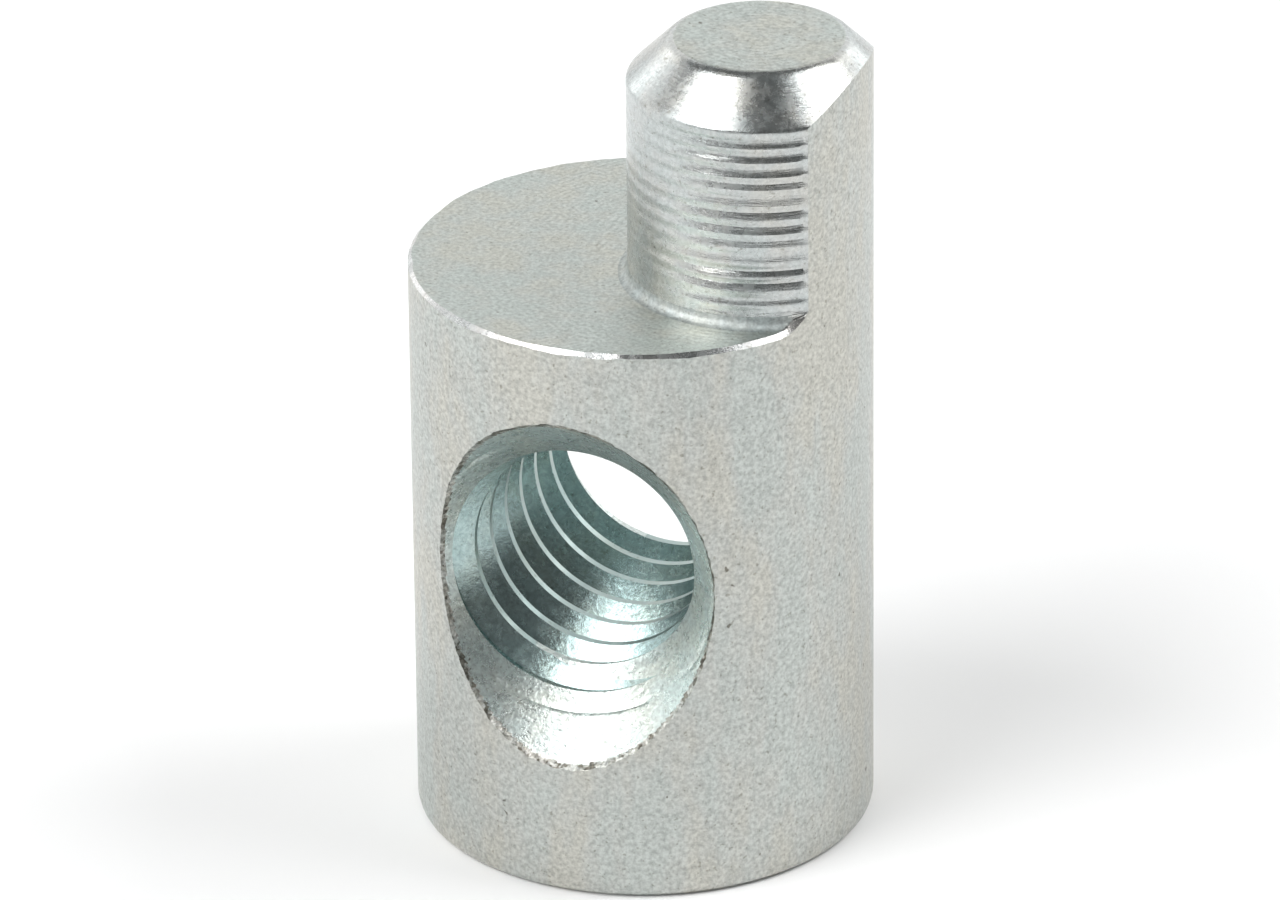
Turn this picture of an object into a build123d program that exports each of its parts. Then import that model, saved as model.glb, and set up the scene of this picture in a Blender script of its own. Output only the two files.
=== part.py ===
"""Chain tensioner bolt: a cross-tapped barrel with an eccentric pin turned on its top.

Millimetres. The origin is the centre of the barrel's underside and +Z runs up the barrel's axis.
+X points to the side that carries the pin, and the tapped bore runs along Y.
"""
import os

from build123d import *

# Bar, whose round surface is the barrel's side and runs on up the outer side of the pin
bar_diameter = 10.0
barrel_height = 13.0
underside_chamfer = 0.2

# Pin, turned about an axis of its own beside the bar's axis
pin_diameter = 5.7
pin_offset = 2.7
pin_height = 5.5
pin_chamfer = 0.95
foot_fillet = 0.4

# Cross bore, drilled for an M6 thread of 1 mm pitch, on the side of the bar's axis away from the pin
bore_diameter = 5.0
bore_height = 7.1
bore_offset = 0.37

# Countersink at each mouth of the bore, its diameter measured on the plane that touches the bar there
countersink_diameter = 8.2
countersink_angle = 80.0

# Worked out from the sizes above
bar_radius = bar_diameter / 2
pin_radius = pin_diameter / 2
pin_top = barrel_height + pin_height
clear_of_bar = pin_offset + bar_diameter
pin_axis = Axis((pin_offset, 0, 0), (0, 0, 1))
pin_plane = Plane(origin=(pin_offset, 0, 0), x_dir=(1, 0, 0), z_dir=(0, -1, 0))
bore_mouths = [
    Plane(origin=(-bore_offset, side * bar_radius, bore_height), z_dir=(0, side, 0))
    for side in (-1, 1)
]

with BuildPart() as tensioner_bolt:
    # Cut length of round bar
    with BuildSketch(Plane.XY):
        Circle(bar_radius)
    extrude(amount=pin_top)
    chamfer(tensioner_bolt.edges().group_by(Axis.Z)[0], underside_chamfer)

    # Ring of metal turned away round the pin's axis, which leaves the shoulder, the fillet at the
    # pin's foot, the pin and its chamfer, and cuts short where the bar's own surface ends the pin
    with BuildSketch(pin_plane):
        with BuildLine():
            shoulder = Line((clear_of_bar, barrel_height), (pin_radius + foot_fillet, barrel_height))
            foot = TangentArc(
                shoulder @ 1, (pin_radius, barrel_height + foot_fillet), tangent=shoulder % 1
            )
            Polyline(
                foot @ 1,
                (pin_radius, pin_top - pin_chamfer),
                (pin_radius - pin_chamfer, pin_top),
                (clear_of_bar, pin_top),
                shoulder @ 0,
            )
        make_face()
    revolve(axis=pin_axis, mode=Mode.SUBTRACT)

    # Tapping bore right through the barrel, countersunk from both sides
    with Locations(*bore_mouths):
        CounterSinkHole(
            radius=bore_diameter / 2,
            counter_sink_radius=countersink_diameter / 2,
            counter_sink_angle=countersink_angle,
        )

tensioner_bolt.part.label = "tensioner_bolt"

os.makedirs("parts", exist_ok=True)
export_step(tensioner_bolt.part, "parts/tensioner_bolt.step")
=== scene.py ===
"""Chain tensioner bolt: a zinc-plated steel barrel, tapped across, with an eccentric pin on top."""
import math

import bmesh
import bpy
import numpy as np
from mathutils import Matrix, Vector


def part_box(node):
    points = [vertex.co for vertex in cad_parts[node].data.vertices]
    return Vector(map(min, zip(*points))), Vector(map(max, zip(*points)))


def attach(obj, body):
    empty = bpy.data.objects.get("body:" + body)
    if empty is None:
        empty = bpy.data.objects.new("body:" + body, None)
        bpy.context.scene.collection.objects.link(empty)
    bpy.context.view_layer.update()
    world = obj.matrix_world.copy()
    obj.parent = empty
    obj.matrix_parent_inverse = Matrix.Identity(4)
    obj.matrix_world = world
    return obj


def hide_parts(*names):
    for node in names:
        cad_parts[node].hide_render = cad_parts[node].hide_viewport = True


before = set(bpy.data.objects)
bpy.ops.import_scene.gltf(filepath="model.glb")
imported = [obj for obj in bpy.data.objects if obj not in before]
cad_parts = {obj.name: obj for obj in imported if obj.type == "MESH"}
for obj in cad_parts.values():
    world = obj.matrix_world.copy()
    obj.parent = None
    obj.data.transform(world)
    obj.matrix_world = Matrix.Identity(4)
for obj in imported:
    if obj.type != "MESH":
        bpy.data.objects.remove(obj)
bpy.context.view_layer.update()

# Turned body. The real piece is a length of round steel bar. A lathe turns the pin about an axis
# beside the bar's own, so the bar's surface runs on up the pin's outer side, and leaves the shoulder,
# the fillet at the pin's foot and feed grooves. Sizes are millimetres, and become metres at the end.
MM = 0.001
body_low, body_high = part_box("tensioner_bolt")
bar_radius = (body_high.x - body_low.x) / 2 / MM
pin_top = body_high.z / MM
barrel_height = 13.0
pin_radius = 2.85
pin_offset = 2.7
pin_chamfer = 0.95
foot_fillet = 0.3
foot_chatter = 0.012
underside_round = 0.2
top_round = 0.45
chamfer_round = 0.16
rim_break = 0.09
rim_raggedness = 0.02
narrow_shoulder = 1.8
narrow_rim_growth = 0.3
narrow_rim_calming = 0.8
narrow_rim_limit = 0.7
feed_pitch = 0.33
feed_depth = 0.055
feed_strengths = (0.7, 1.2)
feed_drift = 0.08
feed_chatter = 0.006
feed_end_rate = 20
feed_fade_start = math.radians(95)
feed_fade_end = math.radians(125)
feed_faded = 0.2
rows_per_feed = 8
foot_rows = 10
shoulder_rows = 8
underside_rows = 3
face_radius = pin_radius - pin_chamfer
top_edge_soft = top_round * math.tan(math.pi / 8)
wall_edge_soft = chamfer_round * math.tan(math.pi / 8)
wall_top = pin_top - pin_chamfer - wall_edge_soft
fillet_top = barrel_height + foot_fillet
wall_rows = round((wall_top - fillet_top) / feed_pitch * rows_per_feed)
barrel_columns = 256
flush_columns = 46
barrel_rows = 34
merge_distance = 0.0004
foot_marks = foot_chatter * np.random.default_rng(9).uniform(-1, 1, foot_rows)


def value_noise(length, spacing, seed):
    """Smooth random values between -1 and 1 on a closed ring of samples, spacing samples apart."""
    rng = np.random.default_rng(seed)
    knots = max(3, round(length / spacing))
    heights = rng.uniform(-1, 1, knots)
    place = np.arange(length) / length * knots
    low = place.astype(int)
    share = place - low
    share = share * share * (3 - 2 * share)
    return heights[low % knots] * (1 - share) + heights[(low + 1) % knots] * share


def bar_angles():
    """Angles round the bar's axis, with a column on each upright edge where the pin leaves the bar."""
    reach = pin_offset**2 + bar_radius**2 - pin_radius**2
    meet = math.acos(reach / (2 * pin_offset * bar_radius))
    flush = np.linspace(-meet, meet, flush_columns, endpoint=False)
    open_side = np.linspace(meet, 2 * math.pi - meet, barrel_columns, endpoint=False)
    return np.concatenate([flush, open_side])


def from_pin_axis(angle):
    """Distance and direction from the pin's axis to the bar's surface at an angle round the bar."""
    x, y = bar_radius * math.cos(angle) - pin_offset, bar_radius * math.sin(angle)
    return math.hypot(x, y), math.atan2(y, x)


def ground_height(radius):
    """Height of the turned shoulder and its fillet at a distance from the pin's axis."""
    inward = pin_radius + foot_fillet - radius
    if inward <= 0:
        return barrel_height
    inward = min(inward, foot_fillet)
    return barrel_height + foot_fillet - math.sqrt(foot_fillet**2 - inward**2)


def crown_height(radius):
    """Height of the pin's end, chamfer and softened edges at a distance from the pin's axis."""
    start = face_radius - top_edge_soft
    if radius <= start:
        return pin_top
    if radius <= face_radius + top_edge_soft * math.cos(math.pi / 4):
        return pin_top - top_round + math.sqrt(top_round**2 - (radius - start) ** 2)
    if radius <= pin_radius - wall_edge_soft * math.cos(math.pi / 4):
        return pin_top - (radius - face_radius)
    across = radius - (pin_radius - chamfer_round)
    return wall_top + math.sqrt(max(0.0, chamfer_round**2 - across**2))


def crown_radii():
    """Distances from the pin's axis at which the crown has a ring of vertices."""
    start = face_radius - top_edge_soft
    inner_end = face_radius + top_edge_soft * math.cos(math.pi / 4)
    outer_start = pin_radius - wall_edge_soft * math.cos(math.pi / 4)
    flat = [start * share for share in (0.0, 0.35, 0.7, 0.92, 1.0)]
    inner = [start + top_round * math.sin(math.pi / 4 * step / 6) for step in range(1, 7)]
    slope = [inner_end + (outer_start - inner_end) * share for share in (0.3, 0.6, 0.85)]
    corner = pin_radius - chamfer_round
    outer = [corner + chamfer_round * math.sin(math.pi / 4 * (1 + step / 4)) for step in range(5)]
    return flat + inner + slope + outer


def feed_marks():
    """How far each row of the pin's wall lies inside the pin's full radius."""
    rng = np.random.default_rng(5)
    grooves = wall_rows // rows_per_feed + 2
    strength = rng.uniform(*feed_strengths, grooves)
    drift = feed_drift * value_noise(wall_rows + 1, rows_per_feed, 6)
    chatter = rng.uniform(0, 1, wall_rows + 1)
    marks = []
    for row in range(wall_rows + 1):
        share = row / wall_rows
        wave = 1 - abs(2 * ((row / rows_per_feed + drift[row]) % 1) - 1)
        fade = min(1.0, feed_end_rate * share, feed_end_rate * (1 - share))
        depth = feed_depth * strength[row // rows_per_feed] * wave + feed_chatter * chatter[row]
        marks.append(fade * depth)
    return marks


def column_profile(angle, edge, marks):
    """Points down one column of the body, from the pin's top centre to the underside's centre."""
    reach, direction = from_pin_axis(angle)
    flush = reach <= pin_radius + 1e-9
    crown_end = min(pin_radius, reach)
    crown_low = crown_height(crown_end)
    worn = (abs(direction) - feed_fade_start) / (feed_fade_end - feed_fade_start)
    kept = 1 - (1 - feed_faded) * min(1.0, max(0.0, worn))
    turned = [
        (min(radius, crown_end), max(crown_height(radius), crown_low)) for radius in crown_radii()
    ]
    for row, mark in enumerate(marks):
        height = crown_low + (fillet_top - crown_low) * row / wall_rows
        turned.append((crown_end if flush else pin_radius - kept * mark, height))
    narrow = max(0.0, 1 - (reach - pin_radius) / narrow_shoulder)
    ragged = (edge - rim_break) * (1 - narrow_rim_calming * narrow)
    edge = rim_break * (1 + narrow_rim_growth * narrow) + ragged
    edge = min(edge, narrow_rim_limit * max(0.0, reach - pin_radius))
    rim = reach - edge
    fillet_end = min(rim, pin_radius + foot_fillet)
    last_cosine = (pin_radius + foot_fillet - fillet_end) / foot_fillet
    last_turn = math.acos(max(0.0, min(1.0, last_cosine)))
    for row, chatter in enumerate(foot_marks):
        turn = last_turn * (row + 1) / foot_rows
        bite = foot_fillet + chatter * math.sin(math.pi * (row + 1) / foot_rows)
        radius = pin_radius + foot_fillet - bite * math.cos(turn)
        turned.append((min(radius, reach), fillet_top - bite * math.sin(turn)))
    for row in range(1, shoulder_rows + 1):
        radius = fillet_end + (rim - fillet_end) * row / shoulder_rows
        turned.append((radius, ground_height(fillet_end)))
    points = [
        (pin_offset + radius * math.cos(direction), radius * math.sin(direction), height)
        for radius, height in turned
    ]
    rim_height = fillet_top if flush else ground_height(rim)
    out = (math.cos(angle), math.sin(angle))
    inset = bar_radius - math.hypot(points[-1][0], points[-1][1])
    bar_side = [(bar_radius - 0.5 * inset, rim_height - 0.5 * edge)]
    side_top = rim_height - edge
    bar_side += [
        (bar_radius, side_top + (underside_round - side_top) * row / barrel_rows)
        for row in range(barrel_rows + 1)
    ]
    for step in range(1, underside_rows + 1):
        turn = math.pi / 2 * step / underside_rows
        inward = underside_round * (1 - math.cos(turn))
        bar_side.append((bar_radius - inward, underside_round * (1 - math.sin(turn))))
    bar_side += [(bar_radius * share, 0.0) for share in (0.85, 0.5, 0.2, 0.0)]
    points += [(radius * out[0], radius * out[1], height) for radius, height in bar_side]
    return points


def turned_body():
    """The closed mesh of the bar and the pin, still without its bore."""
    angles = bar_angles()
    ragged = value_noise(len(angles), 5, 11) + 0.6 * value_noise(len(angles), 2, 12)
    edges = rim_break + rim_raggedness * ragged
    marks = feed_marks()
    columns = [column_profile(angle, edge, marks) for angle, edge in zip(angles, edges)]
    rows = len(columns[0])
    mesh = bpy.data.meshes.new("turned_body")
    built = bmesh.new()
    grid = [[built.verts.new(point) for point in column] for column in columns]
    for left, right in zip(grid, grid[1:] + grid[:1]):
        for row in range(rows - 1):
            built.faces.new((left[row], left[row + 1], right[row + 1], right[row]))
    bmesh.ops.remove_doubles(built, verts=built.verts, dist=merge_distance)
    bmesh.ops.recalc_face_normals(built, faces=built.faces)
    built.to_mesh(mesh)
    built.free()
    body = bpy.data.objects.new("tensioner_bolt_body", mesh)
    bpy.context.scene.collection.objects.link(body)
    return body


body = turned_body()

# Bore. The real one is drilled across the barrel, countersunk from both sides and then tapped M6 with a
# 1 mm pitch, right-hand. The countersinks' mouths keep a small ragged burr. Each cutter here is a closed
# solid that is taken out of the body.
bore_radius = 2.5
thread_radius = 2.92
thread_pitch = 1.0
crest_flat = 0.17
root_flat = 0.14
thread_phase = 0.215
bore_height = 7.1
bore_offset = 0.37
countersink_radius = 4.1
countersink_half_angle = math.radians(40)
thread_segments = 112
mouth_segments = 320
mouth_rings = 70
burr_size = 0.03
burr_width = 0.09
tool_ring_radius = 3.22
tool_ring_depth = 0.03
tool_ring_width = 0.03
cutter_overlap = 0.5
cutter_overrun = 0.6
rod_half_turns = 6


def bore_point(along, radius, turn):
    """A point by its distance along the bore towards -Y, its radius and its angle round the bore."""
    return (-bore_offset + radius * math.cos(turn), -along, bore_height + radius * math.sin(turn))


def thread_profile():
    """Places along one pitch of the thread and the radius at each, from one crest to the next."""
    flank = (thread_pitch - crest_flat - root_flat) / 2
    corners = [
        (0.0, bore_radius), (crest_flat, bore_radius), (crest_flat + flank, thread_radius),
        (crest_flat + flank + root_flat, thread_radius), (thread_pitch, bore_radius),
    ]
    profile = []
    for (start, low), (end, high) in zip(corners, corners[1:]):
        steps = 1 if low == high else 3
        for step in range(steps):
            share = step / steps
            profile.append((start + (end - start) * share, low + (high - low) * share))
    return profile


def threaded_rod():
    """A closed rod with the thread's form, longer than the barrel is wide."""
    profile = thread_profile()
    pitch_rows = len(profile)
    levels = [
        (turn_number * thread_pitch + thread_phase + place, radius)
        for turn_number in range(-rod_half_turns, rod_half_turns)
        for place, radius in profile
    ]
    built = bmesh.new()
    grid = []
    for step in range(thread_segments):
        lead = thread_pitch * step / thread_segments
        turn = 2 * math.pi * step / thread_segments
        column = [bore_point(place + lead, radius, turn) for place, radius in levels]
        grid.append([built.verts.new(point) for point in column])
    top = len(levels) - 1
    for step in range(thread_segments):
        # the last column meets the first one a whole pitch further along
        last = step == thread_segments - 1
        here, there = grid[step], grid[0 if last else step + 1]
        shift = pitch_rows if last else 0
        for row in range(top - shift):
            built.faces.new((here[row], here[row + 1], there[row + 1 + shift], there[row + shift]))
    low_end = [column[0] for column in grid] + [grid[0][row] for row in range(pitch_rows, 0, -1)]
    high_end = [column[top] for column in grid]
    high_end += [grid[-1][row] for row in range(top - 1, top - 1 - pitch_rows, -1)]
    for ring, along in ((low_end, levels[0][0]), (high_end, levels[-1][0] + thread_pitch)):
        centre = built.verts.new(bore_point(along, 0, 0))
        for first, second in zip(ring, ring[1:] + ring[:1]):
            built.faces.new((centre, first, second))
    bmesh.ops.recalc_face_normals(built, faces=built.faces)
    mesh = bpy.data.meshes.new("threaded_rod")
    built.to_mesh(mesh)
    built.free()
    return bpy.data.objects.new("threaded_rod", mesh)


def countersink(side, seed):
    """A closed cone for one mouth, side 1 being the one that faces -Y, ragged near the surface."""
    slope = math.tan(countersink_half_angle)
    inner_radius = bore_radius - cutter_overlap
    inner = bar_radius - (countersink_radius - inner_radius) / slope
    outer = bar_radius + cutter_overrun
    stations = [inner + (outer - inner) * step / mouth_rings for step in range(mouth_rings + 1)]
    coarse = value_noise(mouth_segments, 9, seed)
    fine = value_noise(mouth_segments, 1.5, seed + 1)
    broken = value_noise(mouth_segments, 14, seed + 2)
    built = bmesh.new()
    rings = []
    for along in stations:
        ring = []
        for step in range(mouth_segments):
            turn = 2 * math.pi * step / mouth_segments
            radius = countersink_radius + (along - bar_radius) * slope
            lateral = -bore_offset + radius * math.cos(turn)
            surface = math.sqrt(max(0.0, bar_radius**2 - min(lateral**2, bar_radius**2)))
            near_edge = math.exp(-(((along - surface) / burr_width) ** 2))
            ring_here = math.exp(-(((radius - tool_ring_radius) / tool_ring_width) ** 2))
            radius += burr_size * near_edge * (0.4 + 0.4 * coarse[step] + fine[step])
            radius += tool_ring_depth * ring_here * max(0.0, 0.5 + broken[step])
            ring.append(built.verts.new(bore_point(side * along, radius, turn)))
        rings.append(ring)
    for first, second in zip(rings, rings[1:]):
        for step in range(mouth_segments):
            after = (step + 1) % mouth_segments
            built.faces.new((first[step], first[after], second[after], second[step]))
    for ring in (rings[0], rings[-1]):
        built.faces.new(ring)
    bmesh.ops.recalc_face_normals(built, faces=built.faces)
    mesh = bpy.data.meshes.new("countersink")
    built.to_mesh(mesh)
    built.free()
    return bpy.data.objects.new("countersink", mesh)


def cut(target, cutter):
    """Takes the cutter's solid out of the target's mesh."""
    bpy.context.scene.collection.objects.link(cutter)
    boolean = target.modifiers.new("cut", "BOOLEAN")
    boolean.operation = "DIFFERENCE"
    boolean.solver = "EXACT"
    boolean.object = cutter
    bpy.context.view_layer.update()
    depsgraph = bpy.context.evaluated_depsgraph_get()
    result = bpy.data.meshes.new_from_object(target.evaluated_get(depsgraph), depsgraph=depsgraph)
    target.modifiers.clear()
    target.data = result
    bpy.data.objects.remove(cutter)


cut(body, threaded_rod())
cut(body, countersink(1, 21))
cut(body, countersink(-1, 31))

# Finish. The whole bolt is zinc plated and clear passivated: a satin pale grey with a faint blue-green
# cast, fine speckle and a few dark pits. The drawn bar's surface is the dullest, the turned pin and the
# cut bore keep a brighter tool finish.
def plated(
    name, tone, roughness, speckle, grain,
    metallic=1.0, upright=1.0, stretch=1.0, rings=0.0, pitted=0.26,
):
    """A zinc plate material: its tone and roughness, the strengths of its speckle and its grain, how far
    its patches and its grain are drawn out, and how strong its turning rings and its pits are."""
    material = bpy.data.materials.new(name)
    material.use_nodes = True
    nodes, links = material.node_tree.nodes, material.node_tree.links
    shader = nodes["Principled BSDF"]
    place = nodes.new("ShaderNodeTexCoord")

    def noise(scale, detail, seed, height_scale=1.0):
        shifted = nodes.new("ShaderNodeMapping")
        shifted.inputs["Location"].default_value = (seed, seed * 2, seed * 3)
        shifted.inputs["Scale"].default_value = (1 / MM, 1 / MM, height_scale / MM)
        texture = nodes.new("ShaderNodeTexNoise")
        texture.inputs["Scale"].default_value = scale
        texture.inputs["Detail"].default_value = detail
        texture.inputs["Roughness"].default_value = 0.65
        links.new(place.outputs["Object"], shifted.inputs["Vector"])
        links.new(shifted.outputs["Vector"], texture.inputs["Vector"])
        return texture.outputs["Fac"]

    def ramp(source, stops):
        band = nodes.new("ShaderNodeValToRGB")
        band.color_ramp.elements[0].position, band.color_ramp.elements[0].color = stops[0]
        band.color_ramp.elements[1].position, band.color_ramp.elements[1].color = stops[-1]
        for position, colour in stops[1:-1]:
            band.color_ramp.elements.new(position).color = colour
        links.new(source, band.inputs["Fac"])
        return band.outputs["Color"]

    def multiplied(first, second):
        mix = nodes.new("ShaderNodeMix")
        mix.data_type = "RGBA"
        mix.blend_type = "MULTIPLY"
        mix.inputs["Factor"].default_value = 1.0
        links.new(first, mix.inputs["A"])
        links.new(second, mix.inputs["B"])
        return mix.outputs["Result"]

    warm = tuple(value * share for value, share in zip(tone, (1.03, 1.0, 0.965)))
    cool = tuple(value * share for value, share in zip(tone, (0.975, 1.005, 1.012)))
    patches = ramp(noise(scale=0.7, detail=3, seed=3, height_scale=upright), [
        (0.38, (*warm, 1)), (0.5, (*tone, 1)), (0.6, (*cool, 1)),
    ])
    grey = 1 - speckle
    clean = (1, 1, 1, 1)
    speckles = ramp(noise(scale=11, detail=8, seed=7), [(0.34, (grey, grey, grey, 1)), (0.62, clean)])
    pits = ramp(noise(scale=3.4, detail=2, seed=17), [
        (pitted - 0.03, (0.4, 0.38, 0.35, 1)), (pitted, clean),
    ])
    dots = ramp(noise(scale=9, detail=1, seed=29), [
        (pitted + 0.02, (0.72, 0.71, 0.68, 1)), (pitted + 0.07, clean),
    ])
    marks = multiplied(multiplied(speckles, pits), dots)
    links.new(multiplied(patches, marks), shader.inputs["Base Color"])
    dull = ramp(noise(scale=3.5, detail=3, seed=13), [
        (0.3, (roughness - 0.06,) * 3 + (1,)), (0.7, (roughness + 0.08,) * 3 + (1,)),
    ])
    links.new(dull, shader.inputs["Roughness"])
    shader.inputs["Metallic"].default_value = metallic
    bump = nodes.new("ShaderNodeBump")
    bump.inputs["Strength"].default_value = grain
    bump.inputs["Distance"].default_value = 0.02 * MM
    grains = noise(scale=8 / stretch, detail=6, seed=23, height_scale=stretch**2)
    links.new(grains, bump.inputs["Height"])
    if rings:
        centred = nodes.new("ShaderNodeMapping")
        centred.inputs["Location"].default_value = (-pin_offset, 0, 0)
        centred.inputs["Scale"].default_value = (1 / MM, 1 / MM, 1 / MM)
        wave = nodes.new("ShaderNodeTexWave")
        wave.wave_type = "RINGS"
        wave.rings_direction = "Z"
        wave.inputs["Scale"].default_value = 2.2
        wave.inputs["Distortion"].default_value = 0.6
        links.new(place.outputs["Object"], centred.inputs["Vector"])
        links.new(centred.outputs["Vector"], wave.inputs["Vector"])
        turning = nodes.new("ShaderNodeBump")
        turning.inputs["Strength"].default_value = rings
        turning.inputs["Distance"].default_value = 0.01 * MM
        links.new(wave.outputs["Fac"], turning.inputs["Height"])
        links.new(bump.outputs["Normal"], turning.inputs["Normal"])
        bump = turning
    links.new(bump.outputs["Normal"], shader.inputs["Normal"])
    return material


bar_finish = plated("plated_bar", (0.60, 0.615, 0.585), 0.44, 0.36, 0.7, upright=0.35)
pin_finish = plated("plated_pin", (0.58, 0.60, 0.59), 0.25, 0.24, 0.35, stretch=3)
face_finish = plated("plated_face", (0.60, 0.63, 0.595), 0.42, 0.34, 0.6, rings=0.4)
# Painted light: the countersinks get a paler tone than the bar's plating, standing in for brightness
# that their reflections do not give.
cone_finish_painted_light = plated("plated_countersink_painted_light", (0.77, 0.84, 0.81), 0.28, 0.36, 1.0, metallic=0.85)
crest_finish = plated("plated_crest", (0.41, 0.50, 0.485), 0.34, 0.06, 0.2)
# Painted shade: the thread grooves get a darker, more teal tone that stands in for the shade and
# interreflection deep between the flanks.
groove_finish_painted_shade = plated("plated_groove_painted_shade", (0.48, 0.61, 0.60), 0.23, 0.34, 0.4, metallic=0.92)
burr_finish = plated("plated_burr", (0.74, 0.73, 0.69), 0.35, 0.65, 2.0, pitted=0.46)
rim_finish = plated("plated_rim", (0.64, 0.64, 0.63), 0.25, 0.2, 0.4)
# Painted shade: the fillet at the pin's foot gets a darker tone that stands in for the shade where the
# pin meets the shoulder, and it dims the fillet's highlight.
foot_finish_painted_shade = plated("plated_foot_painted_shade", (0.50, 0.54, 0.53), 0.5, 0.36, 1.0)
finishes = (
    bar_finish, pin_finish, face_finish, cone_finish_painted_light, crest_finish,
    groove_finish_painted_shade, burr_finish, rim_finish, foot_finish_painted_shade,
)
bar_skin = 0.006
turned_zone = 0.3
rim_zone = 1.6 * rim_break
burr_zone = 0.12
cone_zone = 0.09
crest_zone = 0.012
past_thread = 0.02
sharp_angle = math.radians(20)


def finish_of(face):
    """The finish of the surface that a face belongs to, told by the face's place and tilt."""
    middle, tilt = face.calc_center_median(), face.normal
    from_axis = math.hypot(middle.x, middle.y)
    from_bore = math.hypot(middle.x + bore_offset, middle.z - bore_height)
    depth = bar_radius - abs(middle.y)
    cone_here = countersink_radius - depth * math.tan(countersink_half_angle)
    if from_axis > bar_radius - bar_skin or middle.z < underside_round:
        return bar_finish
    if middle.z > barrel_height - turned_zone:
        at_foot = middle.z < fillet_top
        if at_foot and from_axis > bar_radius - rim_zone and 0.3 < tilt.z < 0.95:
            return rim_finish
        if tilt.z > 0.97:
            return face_finish
        return foot_finish_painted_shade if at_foot and tilt.z > 0.05 else pin_finish
    if from_axis > bar_radius - burr_zone:
        return burr_finish
    on_cone = abs(from_bore - cone_here) < cone_zone and abs(tilt.y) < 0.72
    if on_cone or from_bore > thread_radius + past_thread:
        return cone_finish_painted_light
    return crest_finish if from_bore < bore_radius + crest_zone else groove_finish_painted_shade


def finish_faces(mesh):
    """Gives each face the finish of its surface, and keeps only the real edges sharp."""
    slots = {}
    for finish in finishes:
        slots[finish.name] = len(mesh.materials)
        mesh.materials.append(finish)
    built = bmesh.new()
    built.from_mesh(mesh)
    for face in built.faces:
        face.smooth = True
        face.material_index = slots[finish_of(face).name]
    for edge in built.edges:
        edge.smooth = len(edge.link_faces) == 2 and edge.calc_face_angle(0.0) < sharp_angle
    built.to_mesh(mesh)
    built.free()


body.data.name = "tensioner_bolt_body"
finish_faces(body.data)
body.data.transform(Matrix.Scale(MM, 4))
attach(body, "root")
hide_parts("tensioner_bolt")

# Camera. It stands 24 cm off, a little above the bolt and to the right of the near mouth's axis, with a
# long lens, and looks just above the barrel's middle.
camera_azimuth = math.radians(18.4)
camera_elevation = math.radians(26.8)
camera_roll = math.radians(-0.57)
camera_distance = 0.240
aim_up = 0.325 * bar_radius * MM
aim_right = -0.011 * bar_radius * MM
lens_mm = 311
to_camera = Vector((
    math.sin(camera_azimuth) * math.cos(camera_elevation),
    -math.cos(camera_azimuth) * math.cos(camera_elevation),
    math.sin(camera_elevation),
))
right = Vector((math.cos(camera_azimuth), math.sin(camera_azimuth), 0))
up = to_camera.cross(right)
barrel_middle = Vector((0, 0, barrel_height / 2 * MM))
camera_data = bpy.data.cameras.new("camera")
camera_data.lens = lens_mm
camera_data.sensor_width = 36
camera_data.clip_start = 0.01
camera = bpy.data.objects.new("camera", camera_data)
bpy.context.scene.collection.objects.link(camera)
camera.location = barrel_middle + camera_distance * to_camera
aim = barrel_middle + up * aim_up + right * aim_right
view = (aim - camera.location).normalized()
level = view.to_track_quat("-Z", "Y").to_matrix()
camera.rotation_euler = (level @ Matrix.Rotation(camera_roll, 3, "Z")).to_euler()
bpy.context.scene.camera = camera

# Floor and studio. A plain white table with white cards left, right and behind, a soft key light high on
# the left front and a smaller one high on the right. The room in front stays dim.
floor_reach = 3.0
floor_corners = [
    (x * floor_reach, y * floor_reach, 0) for x, y in ((-1, -1), (1, -1), (1, 1), (-1, 1))
]
floor_mesh = bpy.data.meshes.new("floor")
floor_mesh.from_pydata(floor_corners, [], [(0, 1, 2, 3)])
floor = bpy.data.objects.new("floor", floor_mesh)
bpy.context.scene.collection.objects.link(floor)
paper = bpy.data.materials.new("white_paper")
paper.use_nodes = True
paper_shader = paper.node_tree.nodes["Principled BSDF"]
paper_shader.inputs["Base Color"].default_value = (0.9, 0.9, 0.9, 1)
paper_shader.inputs["Roughness"].default_value = 0.9
floor_mesh.materials.append(paper)


def softbox(name, toward, distance, width, height, brightness, turn=0):
    """A rectangular soft light that faces the bolt. Toward says how far it lies to the right, behind
    and above, as the camera sees the bolt, and turn spins it about its own beam, in degrees."""
    sideways, back, rise = toward
    across = Vector((math.cos(camera_azimuth), math.sin(camera_azimuth), 0))
    away = Vector((-math.sin(camera_azimuth), math.cos(camera_azimuth), 0))
    direction = (across * sideways + away * back + Vector((0, 0, rise))).normalized()
    data = bpy.data.lights.new(name, "AREA")
    data.shape = "RECTANGLE"
    data.size = width
    data.size_y = height
    data.energy = brightness * 4 * width * height
    lamp = bpy.data.objects.new(name, data)
    bpy.context.scene.collection.objects.link(lamp)
    lamp.location = barrel_middle + direction * distance
    facing = (-direction).to_track_quat("-Z", "Y").to_matrix()
    lamp.rotation_euler = (facing @ Matrix.Rotation(math.radians(turn), 3, "Z")).to_euler()


softbox("key_left", (-0.60, -0.40, 0.70), 0.6, 0.36, 0.55, 4.15, 39)
softbox("fill_right", (0.67, 0.04, 0.74), 0.6, 0.40, 0.40, 3.2)
softbox("card_left", (-1.0, 0.25, 0.28), 0.7, 1.1, 0.55, 0.8)
softbox("card_right", (0.95, 0.3, 0.25), 0.7, 1.1, 0.5, 0.8)
softbox("card_back", (0.0, 0.9, 0.43), 0.8, 1.6, 0.7, 0.82)

world = bpy.data.worlds.new("studio")
bpy.context.scene.world = world
world.use_nodes = True
sky = world.node_tree.nodes["Background"]
sky.inputs["Color"].default_value = (0.96, 1.0, 1.0, 1)
sky.inputs["Strength"].default_value = 0.12
bpy.context.scene.view_settings.view_transform = "Standard"
